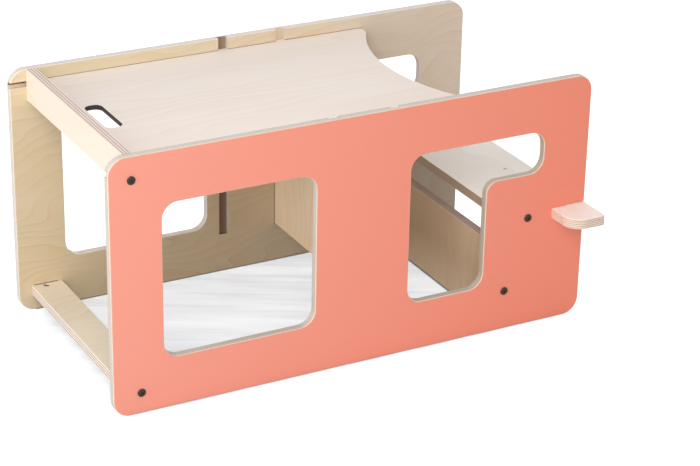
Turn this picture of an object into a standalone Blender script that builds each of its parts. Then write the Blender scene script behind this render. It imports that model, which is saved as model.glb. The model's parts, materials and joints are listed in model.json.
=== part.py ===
"""Learning tower of birch plywood, lying on its side as a play table with a seat.

Metres, +Z up. X runs along the side panels: the tower's head is at -X and its base at +X.
Y runs across, with the front panel at -Y. The origin is on the floor under the middle.
"""

import math

import bmesh
import bpy

# Side panels: a plywood core with a coloured laminate on its outer face
PANEL_LENGTH = 0.900
PANEL_HEIGHT = 0.457
PANEL_CORNER = 0.030
PANEL_CORE = 0.0144
LAMINATE = 0.0006
GLUE_LINE = 0.0002
LAMINATE_SETBACK = 0.0008
INNER_WIDTH = 0.418

# Windows in the panels: a square one, a post, and one shaped like an L lying on its back
WINDOW_MARGIN = 0.091
WINDOW_CORNER = 0.028
POST_WIDTH = 0.1785
L_WINDOW_LENGTH = 0.2635
LEG_LENGTH = 0.150
ARM_HEIGHT = 0.076
ARM_CORNER = 0.022

# Boards and their fits
BOARD = 0.018
THIN_BOARD = 0.009
EASED_EDGE = 0.0010
THIN_EASED_EDGE = 0.0006
FIT_GAP = 0.0003

# Grooves for the platform in the post, at two heights of the tower, and the platform's place
GROOVE_DEPTH = 0.008
GROOVE_PLAY = 0.0006
GROOVE_INSET = 0.0250
GROOVE_PITCH = 0.1139
GROOVE_COUNT = 2
GROOVE_FOOT = 0.073
GROOVE_FOOT_CORNER = 0.003
PLATFORM_GROOVE = 1

# Tabletop, which slides in from the left end before the top rail goes on
TABLE_DROP = 0.0227
TABLE_END_INSET = 0.274
TABLE_HOLLOW = 0.350
TABLE_TIP = 0.030
TABLE_TIP_INSET = 0.0195
HAND_HOLE_START = 0.0725
HAND_HOLE_WIDTH = 0.0305
HAND_HOLE_LENGTH = 0.108
HAND_HOLE_SHIFT = 0.005
HAND_HOLE_CORNER = 0.013

# Rails at the left end
RAIL_WIDTH = 0.057
TOP_RAIL_START = 0.030
BOTTOM_RAIL_START = 0.024
BOTTOM_RAIL_UNDERSIDE = 0.0296

# Seat board with a foot on each side, and the step board below it, clear of the floor
SEAT_TOP = 0.2167
SEAT_DEPTH = 0.156
SLOT_LENGTH = 0.0375
FOOT_REACH = 0.0675
FOOT_LENGTH = 0.0685
FOOT_CORNER = 0.032
FOOT_END_CORNER = 0.006
STEP_INSET = 0.168
STEP_UNDERSIDE = 0.003
STEP_TOP = 0.155

# Connector bolts, barrel nuts and wooden dowels
BOLT_HEAD_RADIUS = 0.0073
BOLT_HEAD_HEIGHT = 0.0022
BOLT_HEAD_CHAMFER = 0.0008
BOLT_RADIUS = 0.003
BOLT_HOLE_PLAY = 0.0005
SOCKET_WIDTH = 0.005
SOCKET_DEPTH = 0.0014
NUT_RADIUS = 0.006
NUT_LENGTH = 0.012
NUT_HOLE_PLAY = 0.0004
NUT_SETBACK = 0.0080
NUT_SLOT_WIDTH = 0.0016
NUT_SLOT_DEPTH = 0.0012
THREAD_PLAY = 0.0002
BOLT_PAST_NUT = 0.0025
DOWEL_RADIUS = 0.004
DOWEL_IN_PANEL = 0.008
DOWEL_IN_BOARD = 0.020
DOWEL_CHAMFER = 0.0008
DOWEL_PLAY = 0.0002

# Where bolts and dowels sit in the ends of the boards
TOP_RAIL_BOLT_UP = 0.017
TOP_RAIL_DOWEL_DOWN = 0.011
BOTTOM_RAIL_BOLT_IN = 0.025
BOTTOM_RAIL_DOWEL_IN = 0.045
SEAT_BOLT_IN = 0.0385
STEP_BOLT_Z = 0.075
STEP_DOWEL_INSET = 0.028

# Roundness of the meshes
CORNER_STEPS = 8
EASE_STEPS = 1
ROUND_SIDES = 20
HOLLOW_STEPS = 28
SMOOTH_ANGLE = math.radians(35)

# How far a cutter reaches past the face it opens
CUT_PAST = 0.004

# Worked out from the sizes above
LEFT = -PANEL_LENGTH / 2
RIGHT = PANEL_LENGTH / 2
INNER = INNER_WIDTH / 2
CORE_OUTER = INNER + PANEL_CORE
LAMINATE_INNER = CORE_OUTER + GLUE_LINE
PANEL_OUTER = LAMINATE_INNER + LAMINATE
BOARD_END = INNER - FIT_GAP
WINDOW_TOP = PANEL_HEIGHT - WINDOW_MARGIN
L_WINDOW_START = RIGHT - WINDOW_MARGIN - L_WINDOW_LENGTH
POST_START = L_WINDOW_START - POST_WIDTH
GROOVE_WIDTH = BOARD + GROOVE_PLAY
TABLE_TOP = PANEL_HEIGHT - TABLE_DROP
TABLE_UNDERSIDE = TABLE_TOP - THIN_BOARD
TABLE_START = LEFT + TOP_RAIL_START + BOARD + FIT_GAP
TABLE_HOLLOW_CENTRE = RIGHT - TABLE_END_INSET + TABLE_HOLLOW
GROOVED_SIDE = INNER + GROOVE_DEPTH - FIT_GAP
TOP_RAIL_UNDERSIDE = PANEL_HEIGHT - RAIL_WIDTH
SEAT_UNDERSIDE = SEAT_TOP - BOARD
SLOT_END = RIGHT - SLOT_LENGTH
FOOT_INNER = PANEL_OUTER + FIT_GAP
FOOT_OUTER = PANEL_OUTER + FOOT_REACH
HEAD_SEAT = PANEL_OUTER + FIT_GAP
BOLT_TIP = INNER - NUT_SETBACK - NUT_RADIUS - BOLT_PAST_NUT

# Turns of a flat slab, made with its thickness along Z
FLAT = (0.0, 0.0, 0.0)
ALONG = (math.pi / 2, 0.0, 0.0)
ACROSS = (math.pi / 2, 0.0, math.pi / 2)


def clear_scene():
    for item in list(bpy.data.objects):
        bpy.data.objects.remove(item, do_unlink=True)


def finish_material(name, colour, roughness, metallic=0.0):
    material = bpy.data.materials.new(name)
    material.use_nodes = True
    shader = material.node_tree.nodes["Principled BSDF"]
    shader.inputs["Base Color"].default_value = (*colour, 1.0)
    shader.inputs["Roughness"].default_value = roughness
    shader.inputs["Metallic"].default_value = metallic
    return material


def rounded_outline(corners, inset=0.0):
    """Points of a counter-clockwise outline whose corners are (x, y, radius).

    The outline is moved inwards by inset, so a corner that bulges out loses that much
    radius and one that bends in gains it. A corner of radius 0 stays one sharp point.
    """
    count = len(corners)
    points = []
    for i, (x, y, radius) in enumerate(corners):
        before = corners[i - 1]
        after = corners[(i + 1) % count]
        ax, ay = x - before[0], y - before[1]
        bx, by = after[0] - x, after[1] - y
        a_len, b_len = math.hypot(ax, ay), math.hypot(bx, by)
        ax, ay, bx, by = ax / a_len, ay / a_len, bx / b_len, by / b_len
        turn = math.atan2(ax * by - ay * bx, ax * bx + ay * by)
        side = 1.0 if turn > 0 else -1.0
        shift = inset / math.cos(turn / 2)
        nx, ny = -(ay + by), ax + bx
        n_len = math.hypot(nx, ny)
        px, py = x + nx / n_len * shift, y + ny / n_len * shift
        if radius == 0:
            points.append((px, py))
            continue
        arc = max(radius - side * inset, 1e-5)
        reach = arc * math.tan(abs(turn) / 2)
        cx = px - ax * reach - ay * side * arc
        cy = py - ay * reach + ax * side * arc
        first = math.atan2(ax, -ay) if side < 0 else math.atan2(-ax, ay)
        for k in range(CORNER_STEPS + 1):
            angle = first + turn * k / CORNER_STEPS
            points.append((cx + arc * math.cos(angle), cy + arc * math.sin(angle)))
    return points


def rectangle(x0, y0, x1, y1, radius=0.0):
    corners = [(x0, y0, radius), (x1, y0, radius), (x1, y1, radius), (x0, y1, radius)]
    return lambda inset=0.0: rounded_outline(corners, inset)


def circle(x, y, radius):
    def points(inset=0.0):
        turns = [2 * math.pi * k / ROUND_SIDES for k in range(ROUND_SIDES)]
        size = radius - inset
        return [(x + size * math.cos(a), y + size * math.sin(a)) for a in turns]

    return points


def ease_levels(thickness, ease):
    """(height, inset) of each ring of a slab whose two rims are rounded by ease."""
    if ease == 0:
        return [(0.0, 0.0), (thickness, 0.0)]
    rim = []
    for k in range(EASE_STEPS + 1):
        angle = math.pi / 2 * k / EASE_STEPS
        rim.append((ease * (1 - math.cos(angle)), ease * (1 - math.sin(angle))))
    return rim + [(thickness - height, inset) for height, inset in reversed(rim)]


def slab_mesh(name, outline, holes=(), thickness=BOARD, ease=EASED_EDGE):
    """A flat plate with its outline and holes in XY, from Z = 0 up to its thickness."""
    mesh = bpy.data.meshes.new(name)
    work = bmesh.new()
    levels = ease_levels(thickness, ease)
    rims = {0: [], len(levels) - 1: []}
    for loop, sense in [(outline, 1.0)] + [(hole, -1.0) for hole in holes]:
        rings = []
        for height, inset in levels:
            ring = [work.verts.new((x, y, height)) for x, y in loop(inset * sense)]
            rings.append(ring)
        size = len(rings[0])
        for low, high in zip(rings, rings[1:]):
            for i in range(size):
                j = (i + 1) % size
                work.faces.new((low[i], low[j], high[j], high[i]))
        for level, edges in rims.items():
            ring = rings[level]
            for i in range(size):
                edges.append(work.edges.get((ring[i], ring[(i + 1) % size])))
    for edges in rims.values():
        bmesh.ops.triangle_fill(work, edges=edges, use_beauty=True)
    bmesh.ops.recalc_face_normals(work, faces=work.faces)
    work.to_mesh(mesh)
    work.free()
    mesh.shade_smooth()
    mesh.set_sharp_from_angle(angle=SMOOTH_ANGLE)
    return mesh


def turned_mesh(name, profile, socket=None):
    """A round piece turned about Z from (radius, z) points, first to last going up.

    socket is the (width, depth) of a six-sided recess in its top face.
    """
    mesh = bpy.data.meshes.new(name)
    work = bmesh.new()
    rings = []
    for radius, z in profile:
        turns = [2 * math.pi * k / ROUND_SIDES for k in range(ROUND_SIDES)]
        ring = [work.verts.new((radius * math.cos(a), radius * math.sin(a), z)) for a in turns]
        rings.append(ring)
    for low, high in zip(rings, rings[1:]):
        for i in range(ROUND_SIDES):
            j = (i + 1) % ROUND_SIDES
            work.faces.new((low[i], low[j], high[j], high[i]))
    work.faces.new(list(reversed(rings[0])))
    if socket is None:
        work.faces.new(rings[-1])
    else:
        width, depth = socket
        top = profile[-1][1]
        corner = width / 2 / math.cos(math.pi / 6)
        turns = [math.pi / 3 * k for k in range(6)]
        sides = [(corner * math.cos(a), corner * math.sin(a)) for a in turns]
        mouth = [work.verts.new((x, y, top)) for x, y in sides]
        floor = [work.verts.new((x, y, top - depth)) for x, y in sides]
        for i in range(6):
            j = (i + 1) % 6
            work.faces.new((floor[i], floor[j], mouth[j], mouth[i]))
        work.faces.new(floor)
        rim = [work.edges.get((mouth[i], mouth[(i + 1) % 6])) for i in range(6)]
        outer = rings[-1]
        for i in range(ROUND_SIDES):
            rim.append(work.edges.get((outer[i], outer[(i + 1) % ROUND_SIDES])))
        bmesh.ops.triangle_fill(work, edges=rim, use_beauty=True)
    bmesh.ops.recalc_face_normals(work, faces=work.faces)
    work.to_mesh(mesh)
    work.free()
    mesh.shade_smooth()
    mesh.set_sharp_from_angle(angle=SMOOTH_ANGLE)
    return mesh


def place(name, mesh, material, location=(0.0, 0.0, 0.0), rotation=FLAT):
    if not mesh.materials:
        mesh.materials.append(material)
    item = bpy.data.objects.new(name, mesh)
    item.location = location
    item.rotation_euler = rotation
    bpy.context.scene.collection.objects.link(item)
    return item


def cut(target, name, mesh, location=(0.0, 0.0, 0.0), rotation=FLAT):
    """Takes the space of a hidden cutter out of the target, with all its other cutters."""
    cutter = bpy.data.objects.new(name, mesh)
    cutter.location = location
    cutter.rotation_euler = rotation
    cutter.hide_render = True
    cutter.display_type = "WIRE"
    modifier = target.modifiers.get("cuts")
    if modifier is None:
        modifier = target.modifiers.new("cuts", "BOOLEAN")
        modifier.operation = "DIFFERENCE"
        modifier.solver = "EXACT"
        modifier.operand_type = "COLLECTION"
        modifier.collection = bpy.data.collections.new(target.name + "_cuts")
        bpy.context.scene.collection.children.link(modifier.collection)
    modifier.collection.objects.link(cutter)


def rod_mesh(name, radius, length):
    """A plain round cutter along Z, centred on its middle."""
    return turned_mesh(name, [(radius, -length / 2), (radius, length / 2)])


def drill(target, name, radius, centre, length, axis):
    turns = {"X": (0.0, math.pi / 2, 0.0), "Y": (math.pi / 2, 0.0, 0.0), "Z": FLAT}
    cut(target, name, rod_mesh(name, radius, length), centre, turns[axis])


def panel_outline():
    """The panel seen from the front: rounded corners and the seat's slot at the right end."""
    low = SEAT_UNDERSIDE - FIT_GAP
    high = SEAT_TOP + FIT_GAP
    corners = [
        (LEFT, 0.0, PANEL_CORNER),
        (RIGHT, 0.0, PANEL_CORNER),
        (RIGHT, low, 0.0),
        (SLOT_END, low, 0.0),
        (SLOT_END, high, 0.0),
        (RIGHT, high, 0.0),
        (RIGHT, PANEL_HEIGHT, PANEL_CORNER),
        (LEFT, PANEL_HEIGHT, PANEL_CORNER),
    ]
    return lambda inset=0.0: rounded_outline(corners, inset)


def panel_windows():
    """The square window and the one shaped like an L lying on its back."""
    low = WINDOW_MARGIN
    high = WINDOW_TOP
    square = rectangle(LEFT + WINDOW_MARGIN, low, POST_START, high, WINDOW_CORNER)
    leg_start = L_WINDOW_START
    leg_end = leg_start + LEG_LENGTH
    arm_end = RIGHT - WINDOW_MARGIN
    arm_low = high - ARM_HEIGHT
    corners = [
        (leg_start, low, WINDOW_CORNER),
        (leg_end, low, WINDOW_CORNER),
        (leg_end, arm_low, ARM_CORNER),
        (arm_end, arm_low, WINDOW_CORNER),
        (arm_end, high, WINDOW_CORNER),
        (leg_start, high, WINDOW_CORNER),
    ]
    return [square, lambda inset=0.0: rounded_outline(corners, inset)]


def fixings():
    """For each board, the (x, z) of the bolt in its ends and of each dowel, by name."""
    top_x = LEFT + TOP_RAIL_START + BOARD / 2
    bottom_z = BOTTOM_RAIL_UNDERSIDE + BOARD / 2
    bottom_x = LEFT + BOTTOM_RAIL_START
    step_x = RIGHT - STEP_INSET + BOARD / 2
    return {
        "top_rail": (
            (top_x, TOP_RAIL_UNDERSIDE + TOP_RAIL_BOLT_UP),
            {"dowel": (top_x, PANEL_HEIGHT - TOP_RAIL_DOWEL_DOWN)},
        ),
        "bottom_rail": (
            (bottom_x + BOTTOM_RAIL_BOLT_IN, bottom_z),
            {"dowel": (bottom_x + BOTTOM_RAIL_DOWEL_IN, bottom_z)},
        ),
        "seat": (
            (RIGHT - SEAT_DEPTH + SEAT_BOLT_IN, SEAT_TOP - BOARD / 2),
            {},
        ),
        "step": (
            (step_x, STEP_BOLT_Z),
            {
                "low_dowel": (step_x, STEP_UNDERSIDE + STEP_DOWEL_INSET),
                "high_dowel": (step_x, STEP_TOP - STEP_DOWEL_INSET),
            },
        ),
    }


def make_panel(side, sign, material):
    """A core panel: slab, grooves on its inner face, and holes for bolts and dowels."""
    mesh = slab_mesh(side + "_panel", panel_outline(), panel_windows(), PANEL_CORE)
    face = CORE_OUTER if sign > 0 else -INNER
    panel = place(side + "_panel", mesh, material, (0.0, face, 0.0), ALONG)
    floor = INNER + GROOVE_DEPTH if sign > 0 else -INNER + CUT_PAST
    for i in range(GROOVE_COUNT):
        name = f"{side}_platform_groove_{i + 1}"
        start = POST_START + GROOVE_INSET + GROOVE_PITCH * i
        end = start + GROOVE_WIDTH
        corners = [
            (start, GROOVE_FOOT, GROOVE_FOOT_CORNER),
            (end, GROOVE_FOOT, GROOVE_FOOT_CORNER),
            (end, PANEL_HEIGHT + CUT_PAST, 0.0),
            (start, PANEL_HEIGHT + CUT_PAST, 0.0),
        ]
        shape = slab_mesh(name, lambda inset=0.0, c=corners: rounded_outline(c, inset), (),
                          GROOVE_DEPTH + CUT_PAST, 0.0)
        cut(panel, name, shape, (0.0, floor, 0.0), ALONG)
    name = side + "_table_groove"
    end = table_tip() + FIT_GAP
    outline = rectangle(LEFT - CUT_PAST, TABLE_UNDERSIDE - FIT_GAP, end, TABLE_TOP + FIT_GAP)
    shape = slab_mesh(name, outline, (), GROOVE_DEPTH + CUT_PAST, 0.0)
    cut(panel, name, shape, (0.0, floor, 0.0), ALONG)
    for board, (bolt, dowels) in fixings().items():
        drill(panel, f"{side}_{board}_bolt_hole", BOLT_RADIUS + BOLT_HOLE_PLAY,
              (bolt[0], sign * (INNER + PANEL_CORE / 2), bolt[1]), PANEL_CORE + CUT_PAST, "Y")
        for dowel, (x, z) in dowels.items():
            reach = DOWEL_IN_PANEL + FIT_GAP
            drill(panel, f"{side}_{board}_{dowel}_hole", DOWEL_RADIUS + DOWEL_PLAY,
                  (x, sign * (INNER + (reach - CUT_PAST) / 2), z), reach + CUT_PAST, "Y")
    return panel


def make_laminate(side, sign, material):
    """The coloured sheet on the outer face, set back a little from every edge."""
    outline = panel_outline()
    windows = [lambda inset=0.0, w=w: w(inset - LAMINATE_SETBACK) for w in panel_windows()]
    holes = [circle(x, z, BOLT_RADIUS + BOLT_HOLE_PLAY) for (x, z), _ in fixings().values()]
    mesh = slab_mesh(side + "_laminate", lambda inset=0.0: outline(inset + LAMINATE_SETBACK),
                     windows + holes, LAMINATE, 0.0)
    face = PANEL_OUTER if sign > 0 else -LAMINATE_INNER
    return place(side + "_laminate", mesh, material, (0.0, face, 0.0), ALONG)


def table_tip_centre():
    """Centre of the back round tip, and the lean of the line from it to the hollow's centre."""
    across = GROOVED_SIDE - TABLE_TIP_INSET
    lean = math.asin(across / (TABLE_HOLLOW + TABLE_TIP))
    along = (TABLE_HOLLOW + TABLE_TIP) * math.cos(lean)
    return TABLE_HOLLOW_CENTRE - along, across, lean


def table_tip():
    """The tabletop's furthest reach to the right."""
    return table_tip_centre()[0] + TABLE_TIP


def arc_points(x, y, radius, first, last, steps):
    turns = [first + (last - first) * k / steps for k in range(steps + 1)]
    return [(x + radius * math.cos(a), y + radius * math.sin(a)) for a in turns]


def table_outline(inset=0.0):
    """Straight at the rail, with a hollow right end between two rounded tips."""
    tip_x, tip_y, lean = table_tip_centre()
    side = GROOVED_SIDE - inset
    tip = TABLE_TIP - inset
    hollow = TABLE_HOLLOW + inset
    start = math.asin((side - tip_y) / tip)
    points = [(TABLE_START + inset, side), (TABLE_START + inset, -side)]
    points += arc_points(tip_x, -tip_y, tip, -start, lean, CORNER_STEPS)
    points += arc_points(TABLE_HOLLOW_CENTRE, 0.0, hollow, math.pi + lean, math.pi - lean,
                         HOLLOW_STEPS)[1:-1]
    points += arc_points(tip_x, tip_y, tip, -lean, start, CORNER_STEPS)
    return points


def make_tabletop(material):
    hole_start = LEFT + HAND_HOLE_START
    near = HAND_HOLE_SHIFT - HAND_HOLE_LENGTH / 2
    hand_hole = rectangle(hole_start, near, hole_start + HAND_HOLE_WIDTH, near + HAND_HOLE_LENGTH,
                          HAND_HOLE_CORNER)
    mesh = slab_mesh("tabletop", table_outline, [hand_hole], THIN_BOARD, THIN_EASED_EDGE)
    return place("tabletop", mesh, material, (0.0, 0.0, TABLE_UNDERSIDE))


def make_platform(material):
    """Stands in the second pair of grooves, on the round corners of their closed ends."""
    start = POST_START + GROOVE_INSET + GROOVE_PITCH * PLATFORM_GROOVE + FIT_GAP
    low = GROOVE_FOOT + max(FIT_GAP, GROOVE_FOOT_CORNER - EASED_EDGE)
    high = TABLE_UNDERSIDE - FIT_GAP
    outline = rectangle(-GROOVED_SIDE, low, GROOVED_SIDE, high, GROOVE_FOOT_CORNER)
    mesh = slab_mesh("platform", outline)
    return place("platform", mesh, material, (start, 0.0, 0.0), ACROSS)


def drill_board_ends(board, name, nut_axis, nut_face, fixing):
    """Bores for bolts and dowels in both ends of a board, and its barrel nut holes.

    nut_face is the side of the board, along nut_axis, that the nut holes open in.
    """
    (x, z), dowels = fixing
    for side, sign in (("front", -1.0), ("back", 1.0)):
        reach = BOARD_END - BOLT_TIP + FIT_GAP
        drill(board, f"{name}_{side}_bolt_bore", BOLT_RADIUS + BOLT_HOLE_PLAY,
              (x, sign * (BOARD_END - (reach - CUT_PAST) / 2), z), reach + CUT_PAST, "Y")
        depth = (BOARD + NUT_LENGTH) / 2 + FIT_GAP
        middle = nut_face * (BOARD - depth + CUT_PAST) / 2
        along = sign * (INNER - NUT_SETBACK)
        centre = (x + middle, along, z) if nut_axis == "X" else (x, along, z + middle)
        drill(board, f"{name}_{side}_nut_hole", NUT_RADIUS + NUT_HOLE_PLAY, centre,
              depth + CUT_PAST, nut_axis)
        for dowel, (dx, dz) in dowels.items():
            length = DOWEL_IN_BOARD + FIT_GAP + CUT_PAST
            drill(board, f"{name}_{side}_{dowel}_bore", DOWEL_RADIUS + DOWEL_PLAY,
                  (dx, sign * (BOARD_END + CUT_PAST - length / 2), dz), length, "Y")


def make_top_rail(material):
    outline = rectangle(-BOARD_END, TOP_RAIL_UNDERSIDE, BOARD_END, PANEL_HEIGHT)
    rail = place("top_rail", slab_mesh("top_rail", outline), material,
                 (LEFT + TOP_RAIL_START, 0.0, 0.0), ACROSS)
    drill_board_ends(rail, "top_rail", "X", 1.0, fixings()["top_rail"])
    return rail


def make_bottom_rail(material):
    start = LEFT + BOTTOM_RAIL_START
    outline = rectangle(start, -BOARD_END, start + RAIL_WIDTH, BOARD_END)
    rail = place("bottom_rail", slab_mesh("bottom_rail", outline), material,
                 (0.0, 0.0, BOTTOM_RAIL_UNDERSIDE))
    drill_board_ends(rail, "bottom_rail", "Z", 1.0, fixings()["bottom_rail"])
    return rail


def make_seat(material):
    """One board: the seat between the panels, necks in their slots, and two feet outside."""
    start = RIGHT - SEAT_DEPTH
    neck = SLOT_END + FIT_GAP
    foot_start = RIGHT - FOOT_LENGTH
    corners = [
        (RIGHT, -FOOT_OUTER, FOOT_END_CORNER),
        (RIGHT, FOOT_OUTER, FOOT_END_CORNER),
        (foot_start, FOOT_OUTER, FOOT_CORNER),
        (foot_start, FOOT_INNER, 0.0),
        (neck, FOOT_INNER, 0.0),
        (neck, BOARD_END, 0.0),
        (start, BOARD_END, 0.0),
        (start, -BOARD_END, 0.0),
        (neck, -BOARD_END, 0.0),
        (neck, -FOOT_INNER, 0.0),
        (foot_start, -FOOT_INNER, 0.0),
        (foot_start, -FOOT_OUTER, FOOT_CORNER),
    ]
    mesh = slab_mesh("seat_board", lambda inset=0.0: rounded_outline(corners, inset))
    seat = place("seat_board", mesh, material, (0.0, 0.0, SEAT_UNDERSIDE))
    drill_board_ends(seat, "seat_board", "Z", -1.0, fixings()["seat"])
    return seat


def make_step(material):
    """Stands between the panels and stops a little above the floor."""
    outline = rectangle(-BOARD_END, STEP_UNDERSIDE, BOARD_END, STEP_TOP)
    step = place("step_board", slab_mesh("step_board", outline), material,
                 (RIGHT - STEP_INSET, 0.0, 0.0), ACROSS)
    drill_board_ends(step, "step_board", "X", 1.0, fixings()["step"])
    return step


def make_fasteners(steel, zinc, beech):
    """A bolt and barrel nut in each end of each fixed board, with dowels beside most."""
    bolt_mesh = turned_mesh("connector_bolt", [
        (BOLT_RADIUS - 0.0004, BOLT_TIP - HEAD_SEAT),
        (BOLT_RADIUS, BOLT_TIP - HEAD_SEAT + 0.0006),
        (BOLT_RADIUS, 0.0),
        (BOLT_HEAD_RADIUS, 0.0),
        (BOLT_HEAD_RADIUS, BOLT_HEAD_HEIGHT - BOLT_HEAD_CHAMFER),
        (BOLT_HEAD_RADIUS - BOLT_HEAD_CHAMFER, BOLT_HEAD_HEIGHT),
    ], (SOCKET_WIDTH, SOCKET_DEPTH))
    nut_mesh = turned_mesh("barrel_nut", [
        (NUT_RADIUS, -NUT_LENGTH / 2),
        (NUT_RADIUS, NUT_LENGTH / 2),
    ])
    slot = rectangle(-NUT_SLOT_WIDTH / 2, -NUT_RADIUS - CUT_PAST,
                     NUT_SLOT_WIDTH / 2, NUT_RADIUS + CUT_PAST)
    slot_mesh = slab_mesh("driver_slot", slot, (), NUT_SLOT_DEPTH + CUT_PAST, 0.0)
    for vertex in slot_mesh.vertices:
        vertex.co.z += NUT_LENGTH / 2 - NUT_SLOT_DEPTH
    half = (DOWEL_IN_PANEL + DOWEL_IN_BOARD) / 2
    dowel_mesh = turned_mesh("wooden_dowel", [
        (DOWEL_RADIUS - DOWEL_CHAMFER, -half),
        (DOWEL_RADIUS, -half + DOWEL_CHAMFER),
        (DOWEL_RADIUS, half - DOWEL_CHAMFER),
        (DOWEL_RADIUS - DOWEL_CHAMFER, half),
    ])
    nut_turns = {
        "top_rail": (0.0, math.pi / 2, 0.0),
        "bottom_rail": FLAT,
        "seat": (math.pi, 0.0, 0.0),
        "step": (0.0, math.pi / 2, 0.0),
    }
    for side, sign in (("front", -1.0), ("back", 1.0)):
        facing = (math.pi / 2 * -sign, 0.0, 0.0)
        for board, ((x, z), dowels) in fixings().items():
            place(f"{board}_bolt_{side}", bolt_mesh, steel, (x, sign * HEAD_SEAT, z), facing)
            seat = (x, sign * (INNER - NUT_SETBACK), z)
            nut = place(f"{board}_nut_{side}", nut_mesh, zinc, seat, nut_turns[board])
            drill(nut, f"{board}_nut_{side}_thread", BOLT_RADIUS + THREAD_PLAY,
                  seat, (NUT_RADIUS + CUT_PAST) * 2, "Y")
            cut(nut, f"{board}_nut_{side}_slot", slot_mesh, seat, nut_turns[board])
            for dowel, (dx, dz) in dowels.items():
                middle = INNER + DOWEL_IN_PANEL - half
                place(f"{board}_{dowel}_{side}", dowel_mesh, beech,
                      (dx, sign * middle, dz), facing)


def build_tower():
    clear_scene()
    birch = finish_material("birch_plywood", (0.72, 0.58, 0.42), 0.55)
    pale_birch = finish_material("pale_birch_plywood", (0.80, 0.72, 0.62), 0.50)
    coral = finish_material("coral_laminate", (0.87, 0.30, 0.20), 0.45)
    steel = finish_material("black_steel", (0.02, 0.02, 0.02), 0.40, 0.6)
    zinc = finish_material("zinc_steel", (0.45, 0.45, 0.46), 0.35, 1.0)
    beech = finish_material("beech", (0.66, 0.47, 0.30), 0.60)
    for side, sign in (("front", -1.0), ("back", 1.0)):
        make_panel(side, sign, birch)
        make_laminate(side, sign, coral)
    make_tabletop(pale_birch)
    make_top_rail(birch)
    make_bottom_rail(birch)
    make_platform(birch)
    make_seat(pale_birch)
    make_step(birch)
    make_fasteners(steel, zinc, beech)


build_tower()
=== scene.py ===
"""The looks of a birch plywood learning tower that lies on its side as a play table."""

import json
import math

import bmesh
import bpy
from mathutils import Matrix, Vector

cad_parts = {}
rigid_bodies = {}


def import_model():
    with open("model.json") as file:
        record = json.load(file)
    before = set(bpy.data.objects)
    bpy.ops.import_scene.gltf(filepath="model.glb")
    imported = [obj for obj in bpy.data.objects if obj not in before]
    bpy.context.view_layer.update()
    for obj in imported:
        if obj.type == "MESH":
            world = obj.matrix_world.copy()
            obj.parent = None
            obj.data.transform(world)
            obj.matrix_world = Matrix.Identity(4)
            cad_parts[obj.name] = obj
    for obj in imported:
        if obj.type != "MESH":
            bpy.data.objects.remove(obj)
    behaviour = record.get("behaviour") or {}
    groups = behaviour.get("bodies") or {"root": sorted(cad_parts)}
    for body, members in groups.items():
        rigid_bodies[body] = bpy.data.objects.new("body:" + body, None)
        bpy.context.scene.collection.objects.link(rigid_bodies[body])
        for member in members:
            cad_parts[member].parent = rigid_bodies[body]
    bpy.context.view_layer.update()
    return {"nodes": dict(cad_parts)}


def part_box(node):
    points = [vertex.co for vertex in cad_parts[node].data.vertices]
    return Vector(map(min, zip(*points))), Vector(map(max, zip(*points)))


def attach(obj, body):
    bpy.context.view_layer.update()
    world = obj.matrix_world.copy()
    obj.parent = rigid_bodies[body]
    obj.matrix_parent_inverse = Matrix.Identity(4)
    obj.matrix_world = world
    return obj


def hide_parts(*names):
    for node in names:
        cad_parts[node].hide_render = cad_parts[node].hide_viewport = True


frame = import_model()
nodes = frame["nodes"]

# Camera: a long lens from the left, above the table, tipped a little to one side.
# The angles are the photograph's own; the place is where the object fills the frame as there.
CAMERA_AZIMUTH = math.radians(-28.698)
CAMERA_ELEVATION = math.radians(24.627)
CAMERA_ROLL = math.radians(1.231)
CAMERA_PLACE = Vector((-1.63279, -3.17031, 1.78863))
CAMERA_LENS = 114.01
SENSOR_WIDTH = 36.0

back = Vector((
    math.sin(CAMERA_AZIMUTH) * math.cos(CAMERA_ELEVATION),
    -math.cos(CAMERA_AZIMUTH) * math.cos(CAMERA_ELEVATION),
    math.sin(CAMERA_ELEVATION),
))
right = Vector((0.0, 0.0, 1.0)).cross(back).normalized()
upright = Matrix((right, back.cross(right), back)).transposed()
turn = upright @ Matrix.Rotation(CAMERA_ROLL, 3, "Z")
lens = bpy.data.cameras.new("studio_camera")
lens.sensor_width = SENSOR_WIDTH
lens.sensor_fit = "HORIZONTAL"
lens.lens = CAMERA_LENS
lens.clip_end = 50.0
camera = bpy.data.objects.new("studio_camera", lens)
camera.matrix_world = Matrix.Translation(CAMERA_PLACE) @ turn.to_4x4()
bpy.context.scene.collection.objects.link(camera)
bpy.context.scene.camera = camera

# Side panels: two boards of 15 mm birch plywood, cut and grooved on a router.
# Their long edges are eased by hand, the grooves are scorched brown by the cutter, and shade is
# painted in them.
# The inner faces show the flame figure of a rotary-cut birch veneer, lying along the panel.
PANEL_LEAST, PANEL_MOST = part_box("front_panel")
BACK_LEAST, BACK_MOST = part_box("back_panel")
LEFT = PANEL_LEAST.x
RIGHT = PANEL_MOST.x
PANEL_HEIGHT = PANEL_MOST.z
PANEL_CORE = PANEL_MOST.y - PANEL_LEAST.y
INNER = -PANEL_MOST.y
PANEL_CORNER = 0.030
EASED_EDGE = 0.0010
PANEL_EASE = 0.0016
WINDOW_MARGIN = 0.091
WINDOW_CORNER = 0.028
POST_START = -0.083
L_WINDOW_START = 0.0955
LEG_LENGTH = 0.150
ARM_HEIGHT = 0.076
ARM_CORNER = 0.022
SLOT_LENGTH = 0.0375
FIT_GAP = 0.0003
GROOVE_DEPTH = 0.008
GROOVE_WIDTH = 0.0186
GROOVE_STARTS = (-0.0580, 0.0559)
GROOVE_FOOT = 0.073
GROOVE_FOOT_CORNER = 0.003
CUT_PAST = 0.004
BORE_RADIUS = 0.0035
BOLTED_BOARDS = ("top_rail", "bottom_rail", "seat", "step")
CORNER_STEPS = 14
EASE_STEPS = 3
SMOOTH_ANGLE = math.radians(40)
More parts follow.
